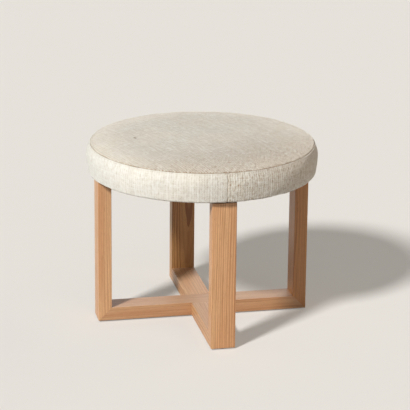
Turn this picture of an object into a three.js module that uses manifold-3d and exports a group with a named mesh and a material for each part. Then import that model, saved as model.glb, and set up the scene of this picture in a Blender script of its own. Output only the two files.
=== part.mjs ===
// A round upholstered stool on a crossed wooden frame.
// Lengths are in millimetres and +Z is up. The origin is on the floor, under the middle of the frame.
// -Y is the front and +X is the right-hand side. The seat is fixed, and nothing moves.

import * as THREE from 'three';
import { mergeVertices } from 'three/addons/utils/BufferGeometryUtils.js';
import Module from 'manifold-3d';

const wasm = await Module();
wasm.setup();

// Driving sizes of the wooden frame
const postInset = 10; // from the seat's seam in to the outer faces of the posts
const frameHeight = 335; // from the underside of the floor rails to the top of the bearers
const postDrop = 4; // how far the posts stop below that, which leaves room for the cloth's folds
const boardWidth = 54; // the wide face of the posts and the floor rails
const boardThickness = 30; // of the same boards
const bearerWidth = 40; // the cross bearers under the seat
const bearerThickness = 20;
const arris = 1.2; // flat taken off every long edge
const fitGap = 0.3; // clearance between two pieces that meet

// Joints of the frame
const dowelDiameter = 8;
const dowelLength = 36;
const dowelChamfer = 1;
const glueRoom = 1; // spare depth at the end of a mortise or a dowel hole
const tenonWidthShare = 1 / 3; // of the board's width
const tenonPlaceShare = 0.24; // of the board's width, from its middle
const tenonThicknessShare = 0.2; // of the board's thickness
const tenonLengthShare = 0.93; // of the board's thickness
const dowelPlaceShare = 0.26; // of the bearer's width, from its middle
const dowelInPostShare = 0.53; // of the post's thickness

// Glides under the corners of the frame
const glideHeight = 3;
const glideDiameter = 20;
const glideRimBevel = 0.8;
const nailShankDiameter = 2;
const nailHeadDiameter = 6;
const nailHeadThickness = 1;
const nailRecess = 0.5; // from the floor up to the nail's head
const nailReachShare = 0.4; // of the rail's thickness

// Screws that hold the seat to the bearers
const screwDiameter = 4.5;
const screwHeadDiameter = 9;
const screwPointLength = 4;
const crossRecessWidth = 1.2;
const crossRecessLength = 5;
const crossRecessDepth = 1.8;
const screwPlaceShare = 0.5; // of the seat's radius, from the middle
const screwBiteShare = 0.8; // of the seat board's thickness

// The upholstered seat
const seatDiameter = 500; // at the seam between the top panel and the side band
const sideHeight = 66; // from the cloth's underside up to the seam
const crownHeight = 15; // from the seam up to the middle of the top
const belly = 8; // how far the side band swells past the seam
const tuckDraw = 5; // how far the band is drawn in again at its foot
const tuckRound = 6; // radius of the band's lower edge
const tuckWidth = 36; // how far the band is turned under the seat board
const coverThickness = 1.2;
const seamAllowance = 10;
const seatBoardThickness = 15;
const waddingThickness = 6;
const dustCoverThickness = 0.6;
const dustCoverOverlap = 10; // over the turned-under edge of the band
const bellyHeightShare = 0.57; // of the side height, where the band is widest
const bellyPower = 2; // how the band leaves its widest place, upwards
const tuckPower = 2.2; // how the band leaves its widest place, downwards
const crownPower = 2.5; // how flat the middle of the top is

// Steps of the round shapes
const seatSteps = 48;
const smallSteps = 16;
const crownSteps = 7;
const sideSteps = 7;
const edgeSteps = 2;
const tenonEdgeSteps = 4;

// Levels, all above the floor
const frameTop = glideHeight + frameHeight;
const postTop = frameTop - postDrop;
const dustCoverLow = frameTop + fitGap;
const clothLow = dustCoverLow + dustCoverThickness + fitGap;
const seamLevel = clothLow + sideHeight;
const seatBoardLow = clothLow + coverThickness + fitGap;
const seatBoardTop = seatBoardLow + seatBoardThickness;
const foamLow = seatBoardTop + fitGap;
const bearerLow = frameTop - bearerThickness;

// Places along a board, from the stool's middle
const seatRadius = seatDiameter / 2;
const outerFace = seatRadius - postInset;
const innerFace = outerFace - boardThickness;
const mitreMiddle = outerFace - boardThickness / 2;
const mitreLevel = glideHeight + boardThickness / 2;
const screwPlace = seatRadius * screwPlaceShare;
const cutterSize = 2 * boardWidth;

const oak = new THREE.MeshStandardMaterial({ color: 0xc99a6c, roughness: 0.5, metalness: 0 });
const beech = new THREE.MeshStandardMaterial({ color: 0xd8bb92, roughness: 0.65, metalness: 0 });
const plywood = new THREE.MeshStandardMaterial({ color: 0xcfae7e, roughness: 0.7, metalness: 0 });
const linen = new THREE.MeshStandardMaterial({ color: 0xd2c9b8, roughness: 0.95, metalness: 0 });
const foam = new THREE.MeshStandardMaterial({ color: 0xe9dfb4, roughness: 0.95, metalness: 0 });
const wadding = new THREE.MeshStandardMaterial({ color: 0xf3f2ee, roughness: 1, metalness: 0 });
const liningCloth = new THREE.MeshStandardMaterial({ color: 0x25252a, roughness: 0.95, metalness: 0 });
const zincSteel = new THREE.MeshStandardMaterial({ color: 0xb9bcc0, roughness: 0.35, metalness: 1 });
const nylon = new THREE.MeshStandardMaterial({ color: 0x3a2a20, roughness: 0.45, metalness: 0 });

// Direction from a floor rail into its post, square to the mitre
const acrossMitre = new THREE.Vector3(1, 0, 1).normalize();

// Turns a closed geometry into a solid that can be cut.
function toSolid(geometry) {
  const bare = geometry.clone();
  bare.deleteAttribute('normal');
  bare.deleteAttribute('uv');
  const merged = mergeVertices(bare);
  const corners = Array.from(merged.index.array);
  const triangles = [];
  for (let i = 0; i < corners.length; i += 3) {
    const [a, b, c] = corners.slice(i, i + 3);
    if (a !== b && b !== c && c !== a) triangles.push(a, b, c);
  }
  return new wasm.Manifold(new wasm.Mesh({
    numProp: 3,
    vertProperties: new Float32Array(merged.attributes.position.array),
    triVerts: new Uint32Array(triangles),
  }));
}

function toGeometry(solid) {
  const mesh = solid.getMesh();
  const geometry = new THREE.BufferGeometry();
  geometry.setAttribute('position', new THREE.BufferAttribute(new Float32Array(mesh.vertProperties), 3));
  geometry.setIndex(new THREE.BufferAttribute(new Uint32Array(mesh.triVerts), 1));
  return geometry;
}

function cut(geometry, cutters) {
  let solid = toSolid(geometry);
  for (const cutter of cutters) solid = solid.subtract(toSolid(cutter));
  return toGeometry(solid);
}

// A copy of each cutter for the other end of a board that is centred on Z.
function atBothEnds(cutters) {
  return cutters.flatMap((cutter) => [cutter, cutter.clone().rotateZ(Math.PI)]);
}

// Turns a profile of [radius, height] points about Z. It runs anticlockwise: out, up and back in.
function turned(profile, steps) {
  const points = profile.map(([radius, height]) => new THREE.Vector2(radius, height));
  return new THREE.LatheGeometry(points, steps).rotateX(Math.PI / 2);
}

function cylinder(radius, low, high) {
  return turned([[0, low], [radius, low], [radius, high], [0, high]], smallSteps);
}

// The section of a board, with the arris taken off its four corners.
function boardSection(width, height) {
  const x = width / 2;
  const y = height / 2;
  return new THREE.Shape([
    [x, arris - y], [x, y - arris], [x - arris, y], [arris - x, y],
    [-x, y - arris], [-x, arris - y], [arris - x, -y], [x - arris, -y],
  ].map(([px, py]) => new THREE.Vector2(px, py)));
}

function extruded(shape, length) {
  return new THREE.ExtrudeGeometry(shape, { depth: length, bevelEnabled: false, curveSegments: tenonEdgeSteps });
}

// A board that lies along X, centred on the origin in plan, from the level low upwards.
function lyingBoard(length, width, thickness, low) {
  const alongX = new THREE.Matrix4().makeBasis(
    new THREE.Vector3(0, 1, 0), new THREE.Vector3(0, 0, 1), new THREE.Vector3(1, 0, 0));
  return extruded(boardSection(width, thickness), length)
    .applyMatrix4(alongX).translate(-length / 2, 0, low + thickness / 2);
}

// The housing for the crossing board, half the thickness deep, from above or from below.
function halvingCutter(width, thickness, low, fromAbove) {
  const floor = low + thickness / 2 + (fromAbove ? -fitGap / 2 : fitGap / 2);
  const middle = fromAbove ? floor + thickness / 2 : floor - thickness / 2;
  return new THREE.BoxGeometry(width + 2 * fitGap, cutterSize, thickness).translate(0, 0, middle);
}

// A block whose face lies on the mitre. side is 1 to cut away the outside and -1 for the inside.
function mitreCutter(side) {
  const reach = side * (cutterSize / 2 - fitGap / 2);
  return new THREE.BoxGeometry(cutterSize, cutterSize, cutterSize)
    .rotateY(-Math.PI / 4)
    .translate(mitreMiddle + reach * acrossMitre.x, 0, mitreLevel + reach * acrossMitre.z);
}

// A loose tenon with round edges, or with room all round it the mortise that takes it.
function looseTenon(room, endRoom) {
  const width = boardWidth * tenonWidthShare + 2 * room;
  const radius = (boardThickness * tenonThicknessShare) / 2 + room;
  const length = boardThickness * tenonLengthShare + 2 * endRoom;
  const straight = width / 2 - radius;
  const section = new THREE.Shape();
  section.absarc(straight, 0, radius, -Math.PI / 2, Math.PI / 2, false);
  section.absarc(-straight, 0, radius, Math.PI / 2, (3 * Math.PI) / 2, false);
  return extruded(section, length).translate(0, 0, -length / 2);
}

// Lays a tenon or its mortise across the mitre, at one side of the board's middle.
function acrossTheMitre(geometry, side) {
  const across = new THREE.Vector3(0, 1, 0);
  const alongMitre = new THREE.Vector3().crossVectors(acrossMitre, across);
  return geometry
    .applyMatrix4(new THREE.Matrix4().makeBasis(across, alongMitre, acrossMitre))
    .translate(mitreMiddle, side * boardWidth * tenonPlaceShare, mitreLevel);
}

// A chamfered dowel along X, from inside the bearer's end into the post.
function dowelAlongX(radius, start, end, chamfer) {
  const length = end - start;
  const profile = [
    [0, 0], [radius - chamfer, 0], [radius, chamfer],
    [radius, length - chamfer], [radius - chamfer, length], [0, length],
  ];
  return turned(profile, smallSteps).rotateY(Math.PI / 2).translate(start, 0, 0);
}

const dowelEnd = innerFace + boardThickness * dowelInPostShare;
const dowelStart = dowelEnd - dowelLength;
const dowelLevel = (bearerLow + postTop) / 2;

function dowelPiece() {
  return dowelAlongX(dowelDiameter / 2, dowelStart, dowelEnd, dowelChamfer);
}

function dowelHole(side) {
  const radius = dowelDiameter / 2 + fitGap;
  return dowelAlongX(radius, dowelStart - glueRoom, dowelEnd + glueRoom, dowelChamfer)
    .translate(0, side * bearerWidth * dowelPlaceShare, dowelLevel);
}

// The glide, its nail and the nail's hole share these levels.
const nailHeadTop = nailRecess + nailHeadThickness;
const nailPoint = glideHeight + boardThickness * nailReachShare;

function glidePiece() {
  const rim = glideDiameter / 2;
  const shaft = nailShankDiameter / 2 + fitGap;
  const head = nailHeadDiameter / 2 + fitGap;
  const seat = nailHeadTop + fitGap;
  const top = glideHeight - fitGap;
  return turned([
    [head, 0], [rim - glideRimBevel, 0], [rim, glideRimBevel], [rim, top],
    [shaft, top], [shaft, seat], [head, seat], [head, 0],
  ], smallSteps);
}

function nailPiece() {
  const shank = nailShankDiameter / 2;
  const head = nailHeadDiameter / 2;
  return turned([
    [0, nailRecess], [head, nailRecess], [head, nailHeadTop], [shank, nailHeadTop],
    [shank, nailPoint - nailShankDiameter], [0, nailPoint],
  ], smallSteps);
}

function nailHole() {
  return cylinder(nailShankDiameter / 2 + fitGap, glideHeight - glueRoom, nailPoint + fitGap)
    .translate(mitreMiddle, 0, 0);
}

// The screw, or with room all round it the hole that it needs.
const screwPoint = seatBoardLow + seatBoardThickness * screwBiteShare;

function screwShape(room, low) {
  const shank = screwDiameter / 2 + room;
  const head = screwHeadDiameter / 2 + room;
  const neck = bearerLow + (screwHeadDiameter - screwDiameter) / 2;
  return turned([
    [0, low], [head, low], [head, bearerLow], [shank, neck],
    [shank, screwPoint - screwPointLength + room], [0, screwPoint + room],
  ], smallSteps);
}

function screwPiece() {
  const headLow = bearerLow - fitGap;
  const slot = crossRecessDepth * 2;
  const recess = [
    new THREE.BoxGeometry(crossRecessLength, crossRecessWidth, slot).translate(0, 0, headLow),
    new THREE.BoxGeometry(crossRecessWidth, crossRecessLength, slot).translate(0, 0, headLow),
  ];
  return cut(screwShape(0, headLow), recess);
}

function screwHole() {
  return screwShape(fitGap, bearerLow - glueRoom).translate(screwPlace, 0, 0);
}

// A floor rail along X, mitred at both ends and halved at the crossing.
function floorRail(fromAbove) {
  const mortises = [-1, 1].map((side) => acrossTheMitre(looseTenon(fitGap, glueRoom), side));
  const board = lyingBoard(2 * outerFace, boardWidth, boardThickness, glideHeight);
  return cut(board, [
    halvingCutter(boardWidth, boardThickness, glideHeight, fromAbove),
    ...atBothEnds([mitreCutter(1), nailHole(), ...mortises]),
  ]);
}

// A post on the right-hand side, with the mitre at its foot and the dowel holes at its top.
function post() {
  const upright = extruded(boardSection(boardThickness, boardWidth), postTop - glideHeight)
    .translate(mitreMiddle, 0, glideHeight);
  const cutters = [mitreCutter(-1)];
  for (const side of [-1, 1]) {
    cutters.push(acrossTheMitre(looseTenon(fitGap, glueRoom), side), dowelHole(side));
  }
  return cut(upright, cutters);
}

// A bearer along X between two posts, halved at the crossing.
function bearer(fromAbove) {
  const board = lyingBoard(2 * (innerFace - fitGap), bearerWidth, bearerThickness, bearerLow);
  return cut(board, [
    halvingCutter(bearerWidth, bearerThickness, bearerLow, fromAbove),
    ...atBothEnds([dowelHole(-1), dowelHole(1), screwHole()]),
  ]);
}

// The radius of the side band at a height above the cloth's underside.
function sideRadius(height) {
  const widest = sideHeight * bellyHeightShare;
  const below = Math.max(0, (widest - height) / widest);
  const above = Math.max(0, (height - widest) / (sideHeight - widest));
  return seatRadius + belly - tuckDraw * below ** tuckPower - belly * above ** bellyPower;
}

// The level of the crowned top at a radius.
function crownLevel(radius) {
  return seamLevel + crownHeight * (1 - (radius / seatRadius) ** crownPower);
}

function spread(start, end, steps) {
  return Array.from({ length: steps + 1 }, (_, i) => start + ((end - start) * i) / steps);
}

// Points [radius, level] of the rounded lower edge, inset from the cloth's outside.
const edgeMiddle = sideRadius(tuckRound) - tuckRound;

function lowerEdge(inset) {
  const radius = tuckRound - inset;
  return spread(0, Math.PI / 2, edgeSteps).map((turn) => [
    edgeMiddle + radius * Math.sin(turn), clothLow + tuckRound - radius * Math.cos(turn),
  ]);
}

// Points [radius, level] up the side between two heights, inset from the cloth's outside.
// Every layer bends at the same heights, so that the layers keep clear of each other.
function sidePoints(inset, lowHeight, highHeight) {
  const bends = spread(tuckRound, sideHeight, sideSteps)
    .filter((height) => height > lowHeight + fitGap && height < highHeight - fitGap);
  return [lowHeight, ...bends, highHeight].map((height) => [sideRadius(height) - inset, clothLow + height]);
}

// Points [radius, level] over the crown, from a radius inwards to the axis, below the cloth's outside.
function crownPoints(drop, fromRadius) {
  return spread(fromRadius, 0, crownSteps).map((radius) => [radius, crownLevel(radius) - drop]);
}

const clothStep = coverThickness + fitGap;

function sideBand() {
  const inner = edgeMiddle + tuckRound - tuckWidth;
  const topHeight = sideHeight - clothStep;
  const outside = [...lowerEdge(0), ...sidePoints(0, tuckRound, topHeight).slice(1)];
  const inside = [
    ...lowerEdge(coverThickness),
    ...sidePoints(coverThickness, tuckRound, topHeight).slice(1),
  ].reverse();
  const start = [inner, clothLow];
  return turned([start, ...outside, ...inside, [inner, clothLow + coverThickness], start], seatSteps);
}

// The crowned panel, with its edge turned down inside the band as the seam allowance.
function topPanel() {
  const rimHeight = sideHeight - coverThickness;
  const footHeight = sideHeight - seamAllowance;
  const outside = sidePoints(clothStep, footHeight, rimHeight);
  const inside = sidePoints(clothStep + coverThickness, footHeight, rimHeight).reverse();
  const underside = crownPoints(coverThickness, inside[0][0]).reverse();
  return turned([
    ...underside, ...inside, ...outside,
    [seatRadius, seamLevel - coverThickness], ...crownPoints(0, seatRadius),
  ], seatSteps);
}

// The radius that the filling may reach, inside the band and the seam allowance.
const waddingRadius = seatRadius - 2 * clothStep;
const foamDrop = clothStep + waddingThickness + fitGap;

function topWadding() {
  const top = crownPoints(clothStep, waddingRadius);
  const underside = crownPoints(clothStep + waddingThickness, waddingRadius).reverse();
  return turned([...underside, ...top], seatSteps);
}

function foamCore() {
  const low = foamLow - clothLow;
  const shoulder = sideHeight - seamAllowance - fitGap;
  const side = sidePoints(clothStep + fitGap, low, shoulder);
  const step = [waddingRadius, clothLow + shoulder];
  return turned([[0, foamLow], ...side, step, ...crownPoints(foamDrop, waddingRadius)], seatSteps);
}

function seatBoard() {
  const profile = lowerEdge(clothStep);
  const edge = profile[profile.length - 1][0];
  const disc = turned([[0, seatBoardLow], ...profile, [edge, seatBoardTop], [0, seatBoardTop]], seatSteps);
  const holes = atBothEnds([screwHole()]);
  return cut(disc, [...holes, ...holes.map((hole) => hole.clone().rotateZ(Math.PI / 2))]);
}

function dustCover() {
  const radius = edgeMiddle + tuckRound - tuckWidth + dustCoverOverlap;
  const high = dustCoverLow + dustCoverThickness;
  const disc = turned([[0, dustCoverLow], [radius, dustCoverLow], [radius, high], [0, high]], seatSteps);
  const holes = atBothEnds([screwHole()]);
  return cut(disc, [...holes, ...holes.map((hole) => hole.clone().rotateZ(Math.PI / 2))]);
}

function piece(name, geometry, material) {
  const mesh = new THREE.Mesh(geometry, material);
  mesh.name = name;
  return mesh;
}

// The pieces at one side of the frame, modelled on the right and turned into place.
function frameSide(name, turn) {
  const side = new THREE.Group();
  side.rotation.z = turn;
  side.add(piece(`post_${name}`, post(), oak));
  [-1, 1].forEach((across, i) => {
    const number = i + 1;
    side.add(piece(`mitre_tenon_${name}_${number}`, acrossTheMitre(looseTenon(0, 0), across), beech));
    const dowel = piece(`bearer_dowel_${name}_${number}`, dowelPiece(), beech);
    dowel.position.set(0, across * bearerWidth * dowelPlaceShare, dowelLevel);
    side.add(dowel);
  });
  const glide = piece(`glide_${name}`, glidePiece(), nylon);
  const nail = piece(`glide_nail_${name}`, nailPiece(), zincSteel);
  const screw = piece(`seat_screw_${name}`, screwPiece(), zincSteel);
  glide.position.x = mitreMiddle;
  nail.position.x = mitreMiddle;
  screw.position.x = screwPlace;
  side.add(glide, nail, screw);
  return side;
}

function frame() {
  const group = new THREE.Group();
  const railAcross = piece('floor_rail_side_to_side', floorRail(false), oak);
  const railAlong = piece('floor_rail_front_to_back', floorRail(true), oak);
  const bearerAcross = piece('bearer_side_to_side', bearer(false), oak);
  const bearerAlong = piece('bearer_front_to_back', bearer(true), oak);
  railAlong.rotation.z = Math.PI / 2;
  bearerAlong.rotation.z = Math.PI / 2;
  group.add(railAcross, railAlong, bearerAcross, bearerAlong);
  ['right', 'back', 'left', 'front'].forEach((name, i) => group.add(frameSide(name, (i * Math.PI) / 2)));
  return group;
}

function seat() {
  const group = new THREE.Group();
  group.add(
    piece('seat_board', seatBoard(), plywood),
    piece('foam_core', foamCore(), foam),
    piece('top_wadding', topWadding(), wadding),
    piece('cover_side_band', sideBand(), linen),
    piece('cover_top_panel', topPanel(), linen),
    piece('dust_cover', dustCover(), liningCloth),
  );
  return group;
}

const stool = new THREE.Group();
stool.add(frame(), seat());

export default stool;
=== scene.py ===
"""The looks of a round upholstered stool on a crossed wooden frame.

Lengths are in metres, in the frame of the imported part: +Z is up, the floor is at z = 0 and -Y is the front.
"""

import math

import bmesh
import bpy
import numpy as np
from mathutils import Matrix, Vector


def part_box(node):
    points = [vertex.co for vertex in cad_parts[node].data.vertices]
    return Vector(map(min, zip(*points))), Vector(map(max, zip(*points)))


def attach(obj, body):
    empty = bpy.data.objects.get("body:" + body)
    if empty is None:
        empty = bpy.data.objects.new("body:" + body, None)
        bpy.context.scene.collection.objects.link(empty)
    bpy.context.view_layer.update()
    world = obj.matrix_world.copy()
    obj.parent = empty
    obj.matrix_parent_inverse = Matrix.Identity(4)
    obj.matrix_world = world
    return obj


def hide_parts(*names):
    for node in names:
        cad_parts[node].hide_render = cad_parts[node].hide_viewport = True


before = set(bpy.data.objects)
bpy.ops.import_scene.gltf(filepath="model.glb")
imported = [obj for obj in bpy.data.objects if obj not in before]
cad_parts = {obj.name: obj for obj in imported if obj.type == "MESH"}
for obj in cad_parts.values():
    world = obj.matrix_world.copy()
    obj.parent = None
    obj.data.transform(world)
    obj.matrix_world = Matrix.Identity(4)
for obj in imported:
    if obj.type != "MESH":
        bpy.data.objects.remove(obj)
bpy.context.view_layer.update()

MM = 0.001
SIDES = ("right", "back", "left", "front")

# Sizes of the wooden frame, read from its pieces
post_low, post_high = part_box("post_right")
bearer_low, bearer_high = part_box("bearer_side_to_side")
OUTER_FACE = post_high.x
INNER_FACE = post_low.x
BOARD_WIDTH = post_high.y - post_low.y
BOARD_THICKNESS = OUTER_FACE - INNER_FACE
BEARER_WIDTH = bearer_high.y - bearer_low.y
BEARER_THICKNESS = bearer_high.z - bearer_low.z
FRAME_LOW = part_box("floor_rail_side_to_side")[0].z
POST_TOP = post_high.z
BEARER_TOP = bearer_high.z

# Finish of the boards
ARRIS_RADIUS = 1.1 * MM
ARRIS_STEPS = 4
GLUE_LINE = 0.06 * MM  # between two boards that meet
JOINT_EASE = 0.12 * MM  # how far a joint's edge is worn back
GRAIN_STEP = 13 * MM  # by which the letters of two boards' names set their grain apart

# The seat, whose cloth lies where the cover's two pieces do
CLOTH_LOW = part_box("cover_side_band")[0].z
CROWN_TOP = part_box("cover_top_panel")[1].z
SEAM_RADIUS = 250 * MM
SIDE_HEIGHT = 66 * MM
SEAM_LEVEL = CLOTH_LOW + SIDE_HEIGHT
CROWN_HEIGHT = CROWN_TOP - SEAM_LEVEL
BELLY = 8 * MM
TUCK_DRAW = 5 * MM
TUCK_ROUND = 6 * MM
TUCK_WIDTH = 36 * MM
COVER = 1.2 * MM
BELLY_HEIGHT_SHARE = 0.57
TUCK_POWER = 2.2
CROWN_POWER = 2.5
FRONT = math.radians(-90)
JOIN_TURN = math.radians(-89.5)  # direction of the side band's sewn joint, just right of the front


def srgb(red, green, blue):
    """The linear colour of a screen colour given in steps of 0 to 255."""
    share = np.array([red, green, blue]) / 255
    linear = np.where(share <= 0.04045, share / 12.92, ((share + 0.055) / 1.055) ** 2.4)
    return (*linear.tolist(), 1.0)


# Numbers

LUMP_WAVES = 14


def bell(distance, width):
    """A bell curve of height 1, which falls to a third at width."""
    return np.exp(-(distance / width) ** 2)


def ease(value, low, high):
    """0 up to low, 1 from high on, and a smooth step between."""
    share = np.clip((value - low) / (high - low), 0, 1)
    return share * share * (3 - 2 * share)


def waves(turn, low, high, seed):
    """A smooth random ring of spread 1: cosines of low to high times the turn, their phases at random."""
    chance = np.random.default_rng(seed)
    orders = np.arange(low, high + 1)
    sizes = chance.uniform(0.3, 1.0, len(orders))
    phases = chance.uniform(0, 2 * math.pi, len(orders))
    return np.cos(np.multiply.outer(turn, orders) + phases) @ sizes / math.sqrt(np.sum(sizes ** 2) / 2)


def lumps(x, y, shortest, longest, seed):
    """Smooth random ground of spread 1: plane waves of random direction, length and phase."""
    chance = np.random.default_rng(seed)
    way = chance.uniform(0, math.pi, LUMP_WAVES)
    number = 2 * math.pi / np.exp(chance.uniform(math.log(shortest), math.log(longest), LUMP_WAVES))
    phase = chance.uniform(0, 2 * math.pi, LUMP_WAVES)
    angle = np.multiply.outer(x, np.cos(way) * number) + np.multiply.outer(y, np.sin(way) * number) + phase
    return np.cos(angle).sum(-1) / math.sqrt(LUMP_WAVES / 2)


def resample(values, places, wanted):
    """Values at the wanted places along the first axis, by cubics that keep the slope at each place."""
    slopes = np.gradient(values, places, axis=0)
    left = np.clip(np.searchsorted(places, wanted, side="right") - 1, 0, len(places) - 2)
    column = (-1,) + (1,) * (values.ndim - 1)
    gap = (places[left + 1] - places[left]).reshape(column)
    share = np.clip((wanted - places[left]).reshape(column) / gap, 0, 1)
    rise = share * share * (3 - 2 * share)
    bow = slopes[left] * share * (1 - share) ** 2 - slopes[left + 1] * share ** 2 * (1 - share)
    return values[left] * (1 - rise) + values[left + 1] * rise + gap * bow


# Meshes

def grid_quads(rows, columns, wrap):
    """Quads between the points of a grid, row by row; wrap joins the last column to the first."""
    first = np.arange(rows - 1)[:, None] * columns
    here = np.arange(columns if wrap else columns - 1)
    there = (here + 1) % columns
    quads = np.stack([first + here, first + there, first + columns + there, first + columns + here], -1)
    return quads.reshape(-1, 4)


def new_piece(name, points, faces):
    """A smooth-shaded mesh object at the origin, from an array of points and lists of faces."""
    mesh = bpy.data.meshes.new(name)
    mesh.from_pydata(np.asarray(points).tolist(), [], faces)
    piece = bpy.data.objects.new(name, mesh)
    bpy.context.scene.collection.objects.link(piece)
    mesh.shade_smooth()
    return piece


def clean(piece, distance=1e-6):
    """Merges doubled points, drops faces of no size and turns every face outwards."""
    shape = bmesh.new()
    shape.from_mesh(piece.data)
    bmesh.ops.remove_doubles(shape, verts=shape.verts, dist=distance)
    bmesh.ops.dissolve_degenerate(shape, edges=shape.edges, dist=distance)
    bmesh.ops.recalc_face_normals(shape, faces=shape.faces)
    shape.to_mesh(piece.data)
    shape.free()
    piece.data.shade_smooth()


def points_of(piece):
    """A mesh's points as an array with a row for each."""
    places = np.empty(len(piece.data.vertices) * 3)
    piece.data.vertices.foreach_get("co", places)
    return places.reshape(-1, 3)


def store(piece, name, kind, values):
    """Stores one value or vector for each point of a mesh, for its material to read."""
    layer = piece.data.attributes.new(name, kind, "POINT")
    key = "vector" if kind == "FLOAT_VECTOR" else "value"
    layer.data.foreach_set(key, np.ascontiguousarray(values, dtype=np.float32).ravel())


def face_weighted(piece):
    """Lets the flat faces set the shading, so that only the rounded edges look round."""
    modifier = piece.modifiers.new("face_weighted", "WEIGHTED_NORMAL")
    modifier.keep_sharp = True
    modifier.weight = 100


def finish_piece(piece, slot, material, *nodes):
    """Puts a finished piece on the stool in place of the nodes that it stands for."""
    piece.data.materials.append(material)
    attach(piece, "root")
    if nodes:
        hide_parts(*nodes)


# Shader nodes

class Signal:
    """A node's output, which + - * and / take for a number."""

    def __init__(self, nodes, socket):
        self.nodes = nodes
        self.socket = socket

    def __add__(self, other):
        return self.nodes.math("ADD", self, other)

    def __sub__(self, other):
        return self.nodes.math("SUBTRACT", self, other)

    def __rsub__(self, other):
        return self.nodes.math("SUBTRACT", other, self)

    def __mul__(self, other):
        return self.nodes.math("MULTIPLY", self, other)

    def __truediv__(self, other):
        return self.nodes.math("DIVIDE", self, other)


class Nodes:
    """Adds nodes to one node tree. An input is a number, a colour or a Signal."""

    def __init__(self, tree):
        self.tree = tree

    def put(self, socket, value):
        if isinstance(value, Signal):
            self.tree.links.new(value.socket, socket)
        else:
            socket.default_value = value

    def add(self, kind, inputs=(), **settings):
        """The outputs of a new node, by name."""
        node = self.tree.nodes.new(kind)
        for name, value in settings.items():
            setattr(node, name, value)
        for name, value in dict(inputs).items():
            self.put(node.inputs[name], value)
        return {socket.name: Signal(self, socket) for socket in node.outputs if socket.enabled}

    def math(self, operation, *values):
        return self.add("ShaderNodeMath", enumerate(values), operation=operation)["Value"]

    def vector(self, operation, *values):
        return self.add("ShaderNodeVectorMath", enumerate(values), operation=operation)["Vector"]

    def length(self, vector):
        return self.add("ShaderNodeVectorMath", {0: vector}, operation="LENGTH")["Value"]

    def split(self, vector):
        return list(self.add("ShaderNodeSeparateXYZ", {0: vector}).values())

    def join(self, x, y, z):
        return self.add("ShaderNodeCombineXYZ", {0: x, 1: y, 2: z})["Vector"]

    def noise(self, place, scale, detail=2.0, roughness=0.5, output="Fac"):
        """Noise with about scale lumps to the metre, or with a number of its own along each axis."""
        if isinstance(scale, tuple):
            place, scale = self.vector("MULTIPLY", place, scale), 1.0
        values = {"Vector": place, "Scale": scale, "Detail": detail, "Roughness": roughness}
        return self.add("ShaderNodeTexNoise", values)[output]

    def chance(self, number):
        """A random number from 0 to 1 that stays the same for each whole number."""
        return self.add("ShaderNodeTexWhiteNoise", {"W": number}, noise_dimensions="1D")["Value"]

    def spread(self, value, low, high, to_low=0.0, to_high=1.0, smooth=True):
        """Spreads the range low to high over to_low to to_high."""
        kind = "SMOOTHSTEP" if smooth else "LINEAR"
        values = {"Value": value, "From Min": low, "From Max": high, "To Min": to_low, "To Max": to_high}
        return self.add("ShaderNodeMapRange", values, interpolation_type=kind)["Result"]

    def choose(self, share, one, other):
        """A number between one, at a share of 0, and other, at a share of 1."""
        return self.add("ShaderNodeMix", {0: share, 2: one, 3: other})["Result"]

    def blend(self, share, one, other, blend_type="MIX"):
        """The same for colours, or one times other where blend_type is MULTIPLY."""
        values = {0: share, 6: one, 7: other}
        return self.add("ShaderNodeMix", values, data_type="RGBA", blend_type=blend_type)["Result"]

    def group(self, tree, **inputs):
        """The outputs of a copy of an effect; an underscore in a name stands for a space."""
        values = {name.replace("_", " "): value for name, value in inputs.items()}
        return self.add("ShaderNodeGroup", values, node_tree=tree)

    def bump(self, height, strength, distance):
        values = {"Height": height, "Strength": strength, "Distance": distance}
        return self.add("ShaderNodeBump", values)["Normal"]

    def attribute(self, name, output="Fac"):
        return self.add("ShaderNodeAttribute", attribute_name=name)[output]

    def object_place(self):
        return self.add("ShaderNodeTexCoord")["Object"]


class Effect(Nodes):
    """A node group that takes a place and named numbers, and gives named numbers."""

    def __init__(self, name, *numbers):
        super().__init__(bpy.data.node_groups.new(name, "ShaderNodeTree"))
        self.socket("Place", "INPUT", "NodeSocketVector")
        for number in numbers:
            self.socket(number, "INPUT", "NodeSocketFloat")
        self.given = self.add("NodeGroupInput")

    def socket(self, name, way, kind):
        self.tree.interface.new_socket(name, in_out=way, socket_type=kind)

    def closed(self, **values):
        """The group's tree, which gives these values."""
        for name in values:
            self.socket(name, "OUTPUT", "NodeSocketFloat")
        self.add("NodeGroupOutput", values)
        return self.tree


class Finish(Nodes):
    """A material of one surface, whose settings are the same all over it."""

    def __init__(self, name, **settings):
        self.material = bpy.data.materials.new(name)
        self.material.use_nodes = True
        super().__init__(self.material.node_tree)
        self.surfaced(**settings)

    def surfaced(self, **values):
        """The material, with these values on its Principled BSDF."""
        surface = self.tree.nodes["Principled BSDF"]
        for name, value in values.items():
            self.put(surface.inputs[name.replace("_", " ")], value)
        return self.material


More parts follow.
